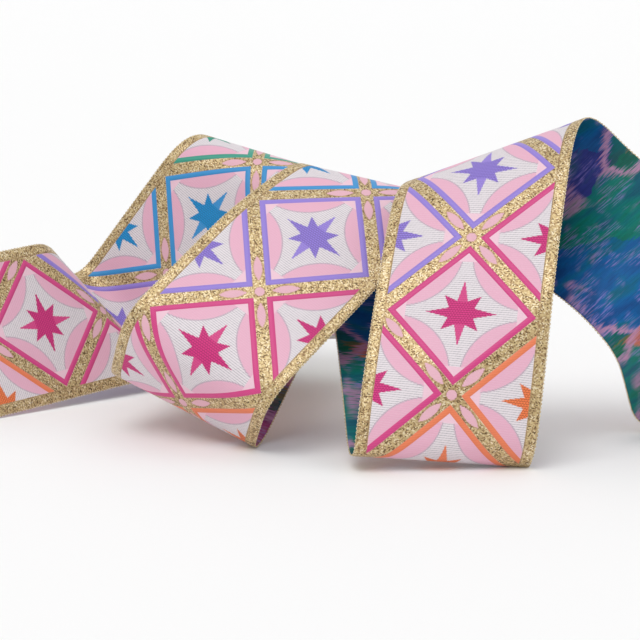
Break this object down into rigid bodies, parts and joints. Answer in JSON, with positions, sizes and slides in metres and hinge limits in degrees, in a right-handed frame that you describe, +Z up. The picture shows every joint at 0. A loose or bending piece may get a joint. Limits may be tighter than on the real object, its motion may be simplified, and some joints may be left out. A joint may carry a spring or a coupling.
{
  "type": "jacquard ribbon",
  "caption": "Woven jacquard ribbon with gold edges, lying on its edges in standing loops, for trimming, wrapping and craft work.",
  "frame": {"origin": "middle of the bounding box, on the surface that the ribbon stands on", "axes": "+X along the row of loops, towards the right of the picture's view; +Y away from the viewer; +Z up"},
  "size_m": [0.2304, 0.126, 0.0719],
  "materials": {
    "weave": "woven satin with metallic gold thread"
  },
  "bodies": {
    "root": {"ribbon": "weave"}
  },
  "joints": []
}
